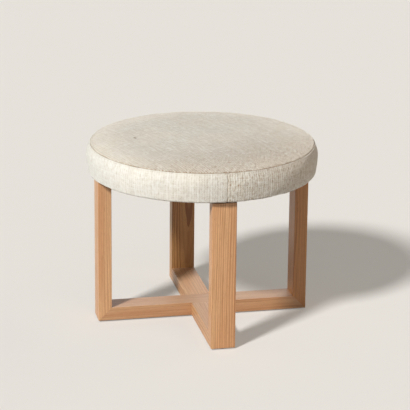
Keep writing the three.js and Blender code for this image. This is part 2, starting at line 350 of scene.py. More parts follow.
def wood_grain_group():
    """Growth rings, fibres and open pores of a board.

    Place is measured from the heart of the tree, X along the grain. The ring number is the distance to
    the heart over the ring width, bent by slow noise; each ring ends in a dark late-wood line whose depth
    and width are random numbers of its ring. Fibres, streaks and pores are noise that is drawn out along
    the grain, in bands of other widths.
    """
    n = Effect("wood_grain", "Ring Width")
    place = n.given["Place"]
    _, y, z = n.split(place)
    slow = n.noise(place, (1.6, 14.0, 14.0)) - 0.5
    quick = n.noise(place, (12.0, 150.0, 150.0)) - 0.5
    ring = (n.length(n.join(0.0, y, z)) + slow * (22 * MM) + quick * (1.6 * MM)) / n.given["Ring Width"]
    number = n.math("FLOOR", ring)
    through = n.math("FRACT", ring)
    start = n.spread(n.chance(number + 0.5), 0.0, 1.0, 0.2, 0.62)
    late = n.spread(through, start, 0.88) * n.spread(through, 0.92, 1.0, 1.0, 0.0)
    rings = late * n.spread(n.chance(number), 0.0, 1.0, 0.2, 1.0, smooth=False)
    fibres = n.noise(place, (11.0, 800.0, 800.0), 3.0, 0.6)
    broad = n.noise(place, (5.0, 260.0, 260.0), 2.0, 0.6)
    fine = n.noise(place, (70.0, 2600.0, 2600.0), 1.0)
    pores = n.spread(fine, 0.6, 0.7) * n.spread(through, 0.5, 0.1, 0.3, 1.0)
    return n.closed(
        Rings=rings, Fibres=fibres, Streaks=n.spread(broad, 0.5, 0.72), Pores=pores,
        Tone=n.noise(place, (3.0, 45.0, 45.0)), Height=fibres * 0.4 + rings * 0.3 - pores)


def slub_weave_group():
    """Plain weave of soft uneven yarn, in height, thread shade, gaps and dark neps.

    Place is the cloth's own place in metres. Yarns lie a pitch apart each way, drawn together in pairs
    and bent by noise. A yarn's height is its round section times a level and a wave that takes it over
    and under the crossing yarns, which is a cosine of its length in pitches plus its own number times
    pi; the warp is tighter, so it waves less and stands up in ribs, one for each pair. Twist runs
    slantwise over each yarn as a finer cosine, fibres are noise drawn out along it, and each yarn has a
    random width and shade that change where it was spun thicker. Loops are soft lumps, higher where
    Fluff is 1, and there flecks of the ground show where the yarns lie low. Streaks is how much noise
    drawn out each way shades the yarns. Neps are the peaks of a noise, in the patches of a slower one.
    """
    n = Effect("slub_weave", "Warp Pitch", "Weft Pitch", "Fluff", "Streaks")
    place, fluff = n.given["Place"], n.given["Fluff"]
    bent = place
    for scale, reach in ((70.0, 1.6 * MM), (420.0, 0.6 * MM)):
        shift = n.vector("SUBTRACT", n.noise(place, scale, 1.0, output="Color"), (0.5, 0.5, 0.5))
        bent = n.vector("ADD", bent, n.vector("MULTIPLY", shift, (reach, reach, 0.0)))
    x, y, _ = n.split(bent)
    across = x / n.given["Warp Pitch"]
    along = y / n.given["Weft Pitch"]

    def yarn(count, length, level, wave_height, seed, paired):
        """Height and shade of the yarns that count numbers, at a length along them."""
        number = n.math("FLOOR", count)
        partner = n.math("FLOORED_MODULO", number, 2.0) * (2 * paired) - paired
        own = n.chance(number + seed)
        slub = n.noise(n.join(number * 7.31, length * 0.24, seed), 1.0, 3.0, 0.65)
        least = 0.76 - 1.6 * paired
        wide = n.spread(own, 0.0, 1.0, least, least + 0.24, smooth=False)
        wide = wide + n.spread(slub, 0.35, 0.7, -0.16, 0.3)
        reach = (n.math("FRACT", count) - 0.5 + partner) / (wide * 0.5)
        section = n.math("POWER", n.math("MAXIMUM", 1.0 - reach * reach, 0.0), 0.7)
        wave = n.math("COSINE", (length - 0.5 + number) * math.pi)
        slant = length * 1.9 + reach * 0.45 + own * 9.0
        twist = n.math("COSINE", slant * (2 * math.pi)) * 0.07
        return section * (wave * wave_height + level + twist), own * 0.25 + slub * 0.6 + twist

    warp, warp_shade = yarn(across, along, level=0.84, wave_height=0.16, seed=11.3, paired=0.11)
    weft, weft_shade = yarn(along, across, level=0.46, wave_height=-0.34, seed=47.9, paired=0.05)
    top = n.math("MAXIMUM", warp, weft)
    warp_shows = n.spread(warp - weft, -0.04, 0.04)
    shade = n.choose(warp_shows, weft_shade, warp_shade)
    warp_fibres = n.noise(bent, (3100.0, 620.0, 1.0), 3.0, 0.7)
    weft_fibres = n.noise(bent, (620.0, 3100.0, 1.0), 3.0, 0.7)
    fibres = n.choose(warp_shows, weft_fibres, warp_fibres)
    lint = n.noise(place, 1500.0, 4.0, 0.75)
    loops = n.spread(n.noise(place, (190.0, 114.0, 190.0), 3.0, 0.62), 0.3, 0.7, -0.5, 0.5)
    warp_streaks = n.noise(place, (200.0, 24.0, 1.0), 2.0, 0.6) - 0.5
    weft_streaks = n.noise(place, (30.0, 240.0, 1.0), 2.0, 0.6) - 0.5
    streaks = warp_streaks + weft_streaks
    flecks = n.spread(n.noise(bent, (190.0, 120.0, 1.0), 3.0, 0.8), 0.5, 0.68)
    flecks = flecks * n.spread(top, 1.0, 0.6, 0.3, 1.0) * fluff
    specks = n.noise(bent, (430.0, 270.0, 1.0), 1.0)
    patches = n.noise(place, 34.0, 1.0)
    return n.closed(
        Height=top + fibres * 0.42 + lint * 0.3 + loops * (fluff * 0.6 + 0.3),
        Shade=shade * 0.5 + fibres * 0.4 + loops * 0.1 + streaks * n.given["Streaks"],
        Gap=n.math("MAXIMUM", n.spread(top + lint * 0.5 + loops * 0.2, 0.85, 0.3), flecks),
        Nep=n.spread(specks, 0.71, 0.76) * n.spread(patches, 0.52, 0.6))


def fibre_felt_group():
    """Fine tangled fibres: fine noise over coarser noise, for lining, wadding and dust."""
    n = Effect("fibre_felt", "Scale")
    place, scale = n.given["Place"], n.given["Scale"]
    fibre = n.noise(n.vector("MULTIPLY", place, (1.0, 2.3, 1.0)), scale, 4.0, 0.7)
    return n.closed(Fibre=fibre, Cloud=n.noise(place, scale * 0.08))


# Materials

WOOD_LIGHT = srgb(208, 161, 115)
WOOD_WARM = srgb(192, 135, 91)
WOOD_DARK = srgb(138, 90, 52)
WOOD_PORE = srgb(96, 60, 34)
WOOD_TOP_SHEEN = srgb(206, 192, 180)
BEECH_LIGHT = srgb(222, 190, 146)
BEECH_WARM = srgb(214, 176, 130)
BEECH_DARK = srgb(190, 150, 104)
BEECH_PORE = srgb(150, 112, 76)
LINEN_LIGHT = srgb(230, 231, 226)
LINEN_DARK = srgb(201, 196, 184)
LINEN_WARM = srgb(226, 214, 195)
LINEN_GAP = srgb(150, 124, 95)
LINEN_TOP_SHADE = srgb(232, 229, 224)
LINEN_CREASE = srgb(138, 116, 90)
LINEN_NEP = srgb(120, 96, 70)
LINING_BLACK = srgb(26, 26, 28)
LINING_DUST = srgb(72, 70, 68)
NYLON_BROWN = srgb(52, 38, 30)
NYLON_SCUFFED = srgb(96, 78, 64)
ZINC_DULL = srgb(168, 170, 172)
ZINC_PALE = srgb(206, 206, 204)
VENEER_LIGHT = srgb(216, 184, 136)
VENEER_DARK = srgb(186, 150, 104)
VENEER_RING = srgb(160, 120, 78)
FOAM_PALE = srgb(238, 228, 184)
FOAM_DEEP = srgb(196, 182, 132)
WADDING_PALE = srgb(246, 246, 242)
WADDING_DEEP = srgb(214, 214, 210)
HARDWOOD_RING = 4.9 * MM
BEECH_RING = 2.5 * MM
PLYWOOD_RING = 6 * MM
VENEER = 1.5 * MM
# Where a stick and a sheet of plywood lie, seen from the heart of their trees
STICK_PLACE = (0.0, 310 * MM, 170 * MM)
PLYWOOD_PLACE = (0.0, 400 * MM, 200 * MM)
# Single dark slubs: place on the top panel, half width and half length in metres, and depth of colour
DARK_SLUBS = ((-0.139, 0.058, 0.0036, 0.008, 1.0), (-0.038, 0.047, 0.003, 0.005, 0.25))
WARP_PITCH = 2.7 * MM
WEFT_PITCH = 2.6 * MM

wood_grain = wood_grain_group()
slub_weave = slub_weave_group()
fibre_felt = fibre_felt_group()


def wood_surface(name, light, warm, dark, pore, ring_width, roughness, oiled=False):
    """A wooden finish in four colours.

    Oiled boards have their own places from the tree's heart, tint and plainness, and their upward faces get a
    painted pale sheen, as from a pale wall mirrored in them. Other pieces are cut from a stick, with the
    grain along X.
    """
    n = Finish(name)
    if oiled:
        place = n.attribute("grain_place", "Vector")
    else:
        place = n.vector("ADD", n.object_place(), STICK_PLACE)
    grain = n.group(wood_grain, Place=place, Ring_Width=ring_width)
    figure = 0.95
    colour = n.blend(n.spread(grain["Tone"], 0.3, 0.7, 0.0, 0.6), light, warm)
    if oiled:
        figure = (1.0 - n.attribute("board_plainness")) * figure
        colour = n.blend(1.0, colour, n.attribute("board_tint", "Vector"), "MULTIPLY")
    colour = n.blend(grain["Rings"] * figure, colour, dark)
    colour = n.blend(grain["Streaks"] * 0.45, colour, dark)
    colour = n.blend(n.spread(grain["Fibres"], 0.35, 0.7, 0.0, 0.25), colour, dark)
    colour = n.blend(grain["Pores"] * 0.6, colour, pore)
    if oiled:
        # Painted sheen: faces that look up are blended towards a pale colour.
        upward = n.split(n.add("ShaderNodeNewGeometry")["Normal"])[2]
        colour = n.blend(n.spread(upward, 0.6, 0.95, 0.0, 0.16), colour, WOOD_TOP_SHEEN)
    worn = n.spread(grain["Fibres"], 0.2, 0.8, roughness - 0.05, roughness + 0.07)
    return n.surfaced(
        Base_Color=colour, Roughness=grain["Pores"] * 0.2 + worn,
        Normal=n.bump(grain["Height"], 0.35, 0.25 * MM))


def linen_surface():
    """Slub linen, with soft clouds of warmer and greyer cloth, and shade down in the seams.

    The top panel, whose places lie above -0.5 in the cloth map, is darkened by painted shade, except for
    its rim, which is painted lighter and warmer as light on its rounded shoulder. Painted shade in the
    weave's gaps is stronger along the top's front edge and beside the band's sewn joint, most of all on the
    right of it, where the cloth is also lumpier.
    """
    n = Finish("slub_linen", Roughness=0.95, Sheen_Weight=0.3, Sheen_Roughness=0.4, Specular_IOR_Level=0.15)
    place = n.add("ShaderNodeUVMap", uv_map="cloth")["UV"]
    along, front, _ = n.split(place)
    on_top = n.math("GREATER_THAN", front, -0.5)
    edge = n.spread(front, 0.0, -0.22)
    by_join = n.math("MAXIMUM", n.spread(along, 0.8, 0.3), n.spread(along, 1.4, 1.57, 0.0, 0.5))
    fluff = n.choose(on_top, by_join, edge)
    rim = on_top * n.spread(n.length(place), 0.15, 0.25)
    weave = n.group(slub_weave, Place=place, Warp_Pitch=WARP_PITCH, Weft_Pitch=WEFT_PITCH, Fluff=fluff,
                    Streaks=on_top * 0.7 + 0.3)
    colour = n.blend(n.spread(weave["Shade"], 0.25, 0.85, smooth=False), LINEN_DARK, LINEN_LIGHT)
    # Painted light and shade on the top panel: the rim is made lighter and warmer, the rest darker.
    colour = n.blend(n.spread(n.noise(place, 9.0, 3.0), 0.4, 0.7, 0.0, 0.25) + rim * 0.4, colour, LINEN_WARM)
    colour = n.blend(on_top * 0.75 - rim * 0.6, colour, LINEN_TOP_SHADE, "MULTIPLY")
    # Painted shade in the weave: its gaps and flecks are darkened, more along the top's front edge and by the
    # joint.
    gap_shade = n.spread(n.noise(place, 150.0), 0.38, 0.66, 0.08, 0.45)
    gap_shade = gap_shade + fluff * 0.6 + on_top * (edge * 0.3 + 0.12)
    colour = n.blend(weave["Gap"] * gap_shade, colour, LINEN_GAP)
    colour = n.blend(weave["Nep"] * 0.7, colour, LINEN_NEP)
    for x, y, wide, long, depth in DARK_SLUBS:
        away = n.vector("MULTIPLY", n.vector("SUBTRACT", place, (x, y, 0.0)), (1 / wide, 1 / long, 0.0))
        colour = n.blend(n.spread(n.length(away), 1.0, 0.4, 0.0, depth), colour, LINEN_NEP)
    # Painted shade in the seams and the joint: a dark line in the groove and a faint shade up to 8 mm beside
    # it.
    away = n.attribute("seam_distance") + (n.noise(place, 300.0, 3.0, 0.7) - 0.5) * (2.6 * MM)
    crease = n.spread(away, 0.4 * MM, 1.6 * MM, 0.75, 0.0)
    seam_shade = n.spread(away, 0.0, 8 * MM, 0.1, 0.0)
    colour = n.blend(n.math("MAXIMUM", crease, seam_shade), colour, LINEN_CREASE)
    relief = weave["Height"] * (on_top * (edge * 0.4 + 0.5) + 0.8)
    return n.surfaced(Base_Color=colour, Normal=n.bump(relief, 0.85, 0.9 * MM))


def lining_surface():
    n = Finish("lining_cloth", Roughness=0.9)
    felt = n.group(fibre_felt, Place=n.object_place(), Scale=900.0)
    dust = felt["Fibre"] * n.spread(felt["Cloud"], 0.4, 0.7, 0.2, 0.6)
    return n.surfaced(
        Base_Color=n.blend(dust, LINING_BLACK, LINING_DUST),
        Normal=n.bump(felt["Fibre"], 0.5, 0.2 * MM))


def nylon_surface():
    n = Finish("glide_nylon")
    scuff = n.noise(n.object_place(), (160.0, 900.0, 160.0), 3.0, 0.6)
    return n.surfaced(
        Base_Color=n.blend(n.spread(scuff, 0.45, 0.7), NYLON_BROWN, NYLON_SCUFFED),
        Roughness=n.spread(scuff, 0.3, 0.7, 0.38, 0.62), Normal=n.bump(scuff, 0.3, 0.1 * MM))


def zinc_surface():
    n = Finish("zinc_steel", Metallic=1.0)
    cloud = n.noise(n.object_place(), 420.0, 3.0, 0.6)
    return n.surfaced(
        Base_Color=n.blend(cloud, ZINC_DULL, ZINC_PALE),
        Roughness=n.spread(cloud, 0.3, 0.7, 0.28, 0.45), Normal=n.bump(cloud, 0.15, 0.1 * MM))


def plywood_surface():
    """Veneers seen at the edge as stripes over the height, with the face grain along X."""
    n = Finish("plywood")
    place = n.object_place()
    grain = n.group(wood_grain, Place=n.vector("ADD", place, PLYWOOD_PLACE), Ring_Width=PLYWOOD_RING)
    pair = n.math("FRACT", n.split(place)[2] / (2 * VENEER))
    colour = n.blend(n.math("GREATER_THAN", pair, 0.5), VENEER_LIGHT, VENEER_DARK)
    return n.surfaced(
        Base_Color=n.blend(grain["Rings"] * 0.4, colour, VENEER_RING),
        Roughness=n.spread(grain["Fibres"], 0.2, 0.8, 0.62, 0.8),
        Normal=n.bump(grain["Height"], 0.3, 0.3 * MM))


def filling_surface(name, pale, deep, scale, depth):
    """Foam or wadding: pale matt fibres over darker cells."""
    n = Finish(name, Roughness=1.0)
    felt = n.group(fibre_felt, Place=n.object_place(), Scale=scale)
    return n.surfaced(
        Base_Color=n.blend(n.spread(felt["Fibre"], 0.35, 0.65), deep, pale),
        Normal=n.bump(felt["Fibre"], 0.6, depth))


hardwood = wood_surface(
    "oiled_hardwood", WOOD_LIGHT, WOOD_WARM, WOOD_DARK, WOOD_PORE, HARDWOOD_RING, 0.4, oiled=True)
beech = wood_surface("bare_beech", BEECH_LIGHT, BEECH_WARM, BEECH_DARK, BEECH_PORE, BEECH_RING, 0.6)
linen = linen_surface()
lining = lining_surface()
nylon = nylon_surface()
zinc = zinc_surface()
plywood = plywood_surface()
foam = filling_surface("upholstery_foam", FOAM_PALE, FOAM_DEEP, 700.0, 0.6 * MM)
wadding = filling_surface("polyester_wadding", WADDING_PALE, WADDING_DEEP, 260.0, 1.2 * MM)


# Boards

def rounded_section(width, thickness, radius, steps):
    """Points round a board's section: a rectangle whose corners are quarter circles."""
    turns = np.linspace(0, math.pi / 2, steps + 1)
    corners = []
    for number, (x, y) in enumerate(((1, 1), (-1, 1), (-1, -1), (1, -1))):
        turn = turns + number * math.pi / 2
        corners.append(np.stack([
            x * (width / 2 - radius) + radius * np.cos(turn),
            y * (thickness / 2 - radius) + radius * np.sin(turn)], -1))
    return np.concatenate(corners)


def board(name, middle, along, across, size, slopes=(0, 0), notch=None, heart=(0.1, 0.1), lean=(0, 0),
          tint=(1, 1, 1), plainness=0.0):
    """A board of size (length, width, thickness): its rounded section carried along a straight line.

    middle is the board's centre, along and across the directions of its length and width. An end's plane
    is shifted by slope times the depth in the board, so a slope of 1 or -1 is a mitre. notch is
    (half width, "above" or "below"): between those places the section is cut off at mid-thickness. The
    grain's place is measured from heart, the tree's heart seen from the board's centre, across and
    through the board, which leans by lean for each unit of length. tint is what the wood's colour is
    multiplied by, and plainness the share of its figure that is missing.
    """
    length, width, thickness = size
    along, across = Vector(along), Vector(across)
    through = along.cross(across)
    section = rounded_section(width, thickness, ARRIS_RADIUS, ARRIS_STEPS)
    small = section * (1 - 2 * JOINT_EASE / np.array([width, thickness]))
    half = length / 2 - GLUE_LINE / 2
    stations = [(-half, slopes[0], small), (-half + JOINT_EASE, slopes[0], section)]
    if notch:
        reach, side = notch
        level = GLUE_LINE / 2
        cut = section.copy()
        if side == "above":
            cut[:, 1] = np.minimum(cut[:, 1], -level)
        else:
            cut[:, 1] = np.maximum(cut[:, 1], level)
        stations += [(-reach, 0, section), (-reach, 0, cut), (reach, 0, cut), (reach, 0, section)]
    stations += [(half - JOINT_EASE, slopes[1], section), (half, slopes[1], small)]
    rows = []
    for place, slope, outline in stations:
        rows.append(np.column_stack([place + slope * outline[:, 1], outline]))
    local = np.concatenate(rows)
    count = len(section)
    faces = grid_quads(len(stations), count, True).tolist()
    last = len(local) - count
    faces += [list(range(count))[::-1], list(range(last, last + count))]
    turn = np.array([along, across, through])
    piece = new_piece("oiled_" + name, local @ turn + np.array(middle), faces)
    clean(piece)
    face_weighted(piece)
    seen = (points_of(piece) - np.array(middle)) @ turn.T
    apart = sum(ord(letter) for letter in name) * GRAIN_STEP
    grain = np.column_stack([
        seen[:, 0] + apart,
        seen[:, 1] - heart[0] - lean[0] * seen[:, 0],
        seen[:, 2] - heart[1] - lean[1] * seen[:, 0]])
    store(piece, "grain_place", "FLOAT_VECTOR", grain)
    store(piece, "board_tint", "FLOAT_VECTOR", np.tile(tint, (len(grain), 1)))
    store(piece, "board_plainness", "FLOAT", np.full(len(grain), plainness))
    finish_piece(piece, "frame_wood", hardwood, name)


def side_turn(index):
    """The rotation that takes the right-hand side of the frame to side number index."""
    return Matrix.Rotation(index * math.pi / 2, 3, "Z")


# Where the heart of the tree lies for each post, how the post leans against the grain, and the tint and
# plainness of its wood; the right post's tint is painted shade, which makes it darker and warmer
POST_WOOD = {
    "right": ((0.13, -0.09), (0.01, 0.0), (0.8, 0.66, 0.47), 0.0),
    "back": ((0.012, -0.034), (0.03, 0.05), (0.83, 0.82, 0.66), -1.0),
    "left": ((-0.11, 0.12), (0.0, 0.008), (0.93, 0.95, 1.0), 0.35),
    "front": ((0.15, 0.07), (-0.006, 0.01), (0.95, 0.97, 1.0), 0.0),
}
# The same for each floor rail, then the heart for the bearer over it
RAIL_WOOD = (
    ((0.09, 0.12), (0.004, 0.006), (0.76, 0.77, 0.82), 0.5, (-0.1, 0.08)),
    ((-0.11, 0.12), (0.004, 0.006), (0.86, 0.88, 0.9), 0.2, (-0.1, 0.11)),
)


def posts():
    """An upright board on each side, mitred at its foot."""
    length = POST_TOP - FRAME_LOW - BOARD_THICKNESS / 2
    level = POST_TOP - length / 2
    for index, name in enumerate(SIDES):
        turn = side_turn(index)
        middle = turn @ Vector((OUTER_FACE - BOARD_THICKNESS / 2, 0, level))
        heart, lean, tint, plainness = POST_WOOD[name]
        # through points outwards, so the foot's plane drops towards the outer face
        board("post_" + name, middle, (0, 0, 1), turn @ Vector((0, -1, 0)),
              (length, BOARD_WIDTH, BOARD_THICKNESS), slopes=(-1, 0), heart=heart, lean=lean, tint=tint,
              plainness=plainness)


def rails_and_bearers():
    """Two floor rails, mitred at their ends, and two bearers; each pair is halved at its crossing."""
    rail_level = FRAME_LOW + BOARD_THICKNESS / 2
    bearer_level = BEARER_TOP - BEARER_THICKNESS / 2
    rail_size = (2 * OUTER_FACE - BOARD_THICKNESS, BOARD_WIDTH, BOARD_THICKNESS)
    bearer_size = (2 * INNER_FACE, BEARER_WIDTH, BEARER_THICKNESS)
    rail_notch = BOARD_WIDTH / 2 + GLUE_LINE
    bearer_notch = BEARER_WIDTH / 2 + GLUE_LINE
    ways = (
        ("side_to_side", (1, 0, 0), (0, 1, 0), "below"),
        ("front_to_back", (0, 1, 0), (-1, 0, 0), "above"),
    )
    for (name, along, across, side), wood in zip(ways, RAIL_WOOD):
        heart, lean, tint, plainness, bearer_heart = wood
        board("floor_rail_" + name, (0, 0, rail_level), along, across, rail_size, slopes=(1, -1),
              notch=(rail_notch, side), heart=heart, lean=lean, tint=tint, plainness=plainness)
        board("bearer_" + name, (0, 0, bearer_level), along, across, bearer_size,
              notch=(bearer_notch, side), heart=bearer_heart)


# Forms with a square grid of points for a face, which has no pole

def disc_places(cells):
    """A square grid of (cells + 1) squared points pressed into a unit disc.

    A point (x, y) of the square goes to (x sqrt(1 - y y / 2), y sqrt(1 - x x / 2)).
    """
    steps = np.linspace(-1, 1, cells + 1)
    x, y = np.meshgrid(steps, steps, indexing="ij")
    return np.stack([x * np.sqrt(1 - y ** 2 / 2), y * np.sqrt(1 - x ** 2 / 2)], -1)


def rim_of(grid):
    """The outer points of a square grid, anticlockwise from the middle of its front side."""
    ring = np.concatenate([grid[:-1, 0], grid[-1, :-1], grid[:0:-1, -1], grid[0, :0:-1]])
    return np.roll(ring, -(len(grid) // 2), axis=0)


def grid_numbers(cells):
    """The numbers of a disc grid's points, row by row."""
    return np.arange((cells + 1) ** 2).reshape(cells + 1, cells + 1)


def disc_quads(cells):
    """A quad for each cell of a disc grid."""
    number = grid_numbers(cells)
    return np.stack([number[:-1, :-1], number[1:, :-1], number[1:, 1:], number[:-1, 1:]], -1).reshape(-1, 4)


def capped_faces(cells, rows):
    """Quads of a disc grid, and of the rows of points that go on from its rim."""
    rim = rim_of(grid_numbers(cells))
    lookup = np.concatenate([rim, (cells + 1) ** 2 + np.arange(rows * len(rim))])
    return disc_quads(cells), lookup[grid_quads(rows + 1, len(rim), True)][:, ::-1]


def arc(centre, radius, start, end, steps):
    """Points of an arc in the (radius, height) plane, its angles in degrees."""
    turn = np.radians(np.linspace(start, end, steps + 1))
    return np.stack([centre[0] + radius * np.cos(turn), centre[1] + radius * np.sin(turn)], -1).tolist()


# Fixings and glides

GLIDE_RIM = 0.9 * MM  # radius of its rounding
NAIL_SHANK = 1.0 * MM  # radius
NAIL_HEAD = 1.0 * MM  # thickness
NAIL_HOLE_EASE = 0.4 * MM
SCREW_ROUNDING = 0.25 * MM
SCREW_EDGE = 0.5 * MM  # from the head's face to where its cone starts
SCREW_POINT = 4 * MM
RECESS_CELLS = 28
RECESS_DEPTH = 1.8 * MM
SLOT_FLOOR = (0.5 * MM, 1.2 * MM)  # half width and half length of each slot of the recess
SLOT_MOUTH = (0.95 * MM, 2.8 * MM)


def turned(name, profile, steps, centre, slot, material, node):
    """A turned piece: a closed profile of (radius, height) points carried round an upright axis."""
    radius, height = np.array(profile).T
    turns = np.linspace(0, 2 * math.pi, steps, endpoint=False)
    points = np.stack([
        centre[0] + radius[:, None] * np.cos(turns),
        centre[1] + radius[:, None] * np.sin(turns),
        np.repeat(height[:, None], steps, 1)], -1).reshape(-1, 3)
    piece = new_piece(name, points, grid_quads(len(radius), steps, True).tolist())
    clean(piece, 1e-7)
    face_weighted(piece)
    finish_piece(piece, slot, material, node)


def glides():
    """Nylon glides with a rounded rim and a countersunk nail each."""
    for name in SIDES:
        low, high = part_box("glide_" + name)
        nail_low, nail_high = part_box("glide_nail_" + name)
        centre = ((low.x + high.x) / 2, (low.y + high.y) / 2)
        radius = (high.x - low.x) / 2
        head = (nail_high.x - nail_low.x) / 2
        hole = head + NAIL_HOLE_EASE
        neck = nail_low.z + NAIL_HEAD
        profile = [(0, neck), (head * 0.6, neck), (hole, nail_low.z + 0.5 * MM), (hole + 0.3 * MM, 0)]
        profile += arc((radius - GLIDE_RIM, GLIDE_RIM), GLIDE_RIM, -90, 0, 5)
        profile += [(radius, FRAME_LOW), (0, FRAME_LOW)]
        turned("moulded_glide_" + name, profile, 40, centre, "glide_nylon", nylon, "glide_" + name)
        dome = [(0, nail_low.z), (head * 0.55, nail_low.z + 0.05 * MM), (head * 0.9, nail_low.z + 0.35 * MM)]
        dome += [(head, nail_low.z + 0.8 * MM), (NAIL_SHANK, neck)]
        dome += [(NAIL_SHANK, nail_high.z - 2 * NAIL_SHANK), (0, nail_high.z)]
        turned("domed_glide_nail_" + name, dome, 24, centre, "fixing_steel", zinc, "glide_nail_" + name)


def seat_screws():
    """Countersunk screws, head down: a disc with a cross recess, then a cone, a shank and a point.

    The recess is as deep as the deeper of two crossed slots, each a smooth step across and along.
    """
    disc = disc_places(RECESS_CELLS)
    for name in SIDES:
        low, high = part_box("seat_screw_" + name)
        centre = np.array([(low.x + high.x) / 2, (low.y + high.y) / 2])
        head = (high.x - low.x) / 2
        shank = head / 2
        flat = disc * (head - SCREW_ROUNDING)
        across, along = np.abs(flat), np.abs(flat[..., ::-1])
        slots = ease(-across, -SLOT_MOUTH[0], -SLOT_FLOOR[0]) * ease(-along, -SLOT_MOUTH[1], -SLOT_FLOOR[1])
        depth = RECESS_DEPTH * slots.max(-1)
        face = np.concatenate([centre + flat, (low.z + depth)[..., None]], -1).reshape(-1, 3)
        profile = np.array([
            (head - SCREW_ROUNDING * 0.3, low.z + SCREW_ROUNDING * 0.3),
            (head, low.z + SCREW_ROUNDING),
            (head, low.z + SCREW_EDGE),
            (shank, low.z + SCREW_EDGE + head - shank),
            (shank, high.z - SCREW_POINT),
            (shank * 0.55, high.z - SCREW_POINT / 2),
            (0, high.z)])
        direction = rim_of(disc)
        radius, level = profile.T[..., None, None]
        side = np.concatenate([centre + radius * direction, level + 0 * direction[:, :1]], -1)
        points = np.concatenate([face, side.reshape(-1, 3)])
        faces = np.concatenate(capped_faces(RECESS_CELLS, len(profile)))
        piece = new_piece("countersunk_seat_screw_" + name, points, faces.tolist())
        clean(piece, 1e-7)
        face_weighted(piece)
        finish_piece(piece, "fixing_steel", zinc, "seat_screw_" + name)


# Hidden pieces that keep their own shape

CARRIED_OVER = {
    "mitre_tenon": beech,
    "bearer_dowel": beech,
    "seat_board": plywood,
    "foam_core": foam,
    "top_wadding": wadding,
}


def carried_over():
    """Gives each of these pieces its finish."""
    for name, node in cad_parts.items():
        for start, material in CARRIED_OVER.items():
            if name.startswith(start):
                node.data.materials.clear()
                node.data.materials.append(material)


# The underside

LINING_CELLS = 96
LINING_SAG = 1.8 * MM
LINING_LUMPS = 0.25 * MM
LINING_PUCKERS = 0.3 * MM
HEM_WIDTH = 10 * MM
HEM_THICKNESS = 0.2 * MM  # by which the hem is thicker
BEARER_CLEARANCE = 6 * MM  # beside a bearer, before the lining sags
COVER_STAPLES = 56
STAPLE_RADIUS = 224 * MM
STAPLE_CLEARANCE = 8 * MM
STAPLE_REACH = 5.2 * MM
STAPLE_BEND = 0.5 * MM
STAPLE_LEG = 0.9 * MM
STAPLE_HALF_WIDTH = 0.35 * MM
STAPLE_HALF_DEPTH = 0.28 * MM
STAPLE_DROP = 0.24 * MM  # from the lining down to the middle of the wire


def staple_turns():
    """Directions of the staples round the lining, without those that would lie under a bearer."""
    turns = (np.arange(COVER_STAPLES) + 0.5) * 2 * math.pi / COVER_STAPLES
    beside = np.minimum(np.abs(np.cos(turns)), np.abs(np.sin(turns))) * STAPLE_RADIUS
    return turns[beside > BEARER_WIDTH / 2 + STAPLE_CLEARANCE]


def dust_cover():
    """The lining under the seat: two disc grids a cloth's thickness apart, closed round the hem.

    Between the bearers it sags by a smooth step away from each of them, with smooth random lumps. It is
    a little thicker over the folded hem, and a cosine of the direction draws it into small puckers
    between its staples.
    """
    cells = LINING_CELLS
    low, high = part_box("dust_cover")
    thickness = high.z - low.z
    radius = (high.x - low.x) / 2
    flat = disc_places(cells) * radius
    x, y = flat[..., 0], flat[..., 1]
    away = np.linalg.norm(flat, axis=-1)
    turn = np.arctan2(y, x)
    inner = radius - HEM_WIDTH
    clear = BEARER_WIDTH / 2 + BEARER_CLEARANCE
    hang = ease(np.abs(x), clear, clear + 45 * MM) * ease(np.abs(y), clear, clear + 45 * MM)
    sag = LINING_SAG * hang * ease(-away, -inner, -inner + 70 * MM)
    uneven = lumps(x, y, 30 * MM, 120 * MM, 21) * ease(-away, -inner, -inner + 20 * MM)
    pucker = (1 - np.cos(turn * COVER_STAPLES)) / 2 * bell(away - inner, 16 * MM)
    hem = HEM_THICKNESS * ease(away, inner - 0.5 * MM, inner)
    under = low.z - sag - (LINING_LUMPS * uneven + LINING_PUCKERS * pucker) * hang
    over = under + thickness + hem
    points = np.concatenate([np.concatenate([flat, z[..., None]], -1).reshape(-1, 3) for z in (over, under)])
    quads = disc_quads(cells)
    rim = rim_of(grid_numbers(cells))
    after = np.roll(rim, -1)
    count = (cells + 1) ** 2
    edge = np.stack([rim, rim + count, after + count, after], -1)
    faces = np.concatenate([quads, quads[:, ::-1] + count, edge])
    piece = new_piece("lining_sheet", points, faces.tolist())
    clean(piece, 1e-7)
    finish_piece(piece, "lining_cloth", lining, "dust_cover")


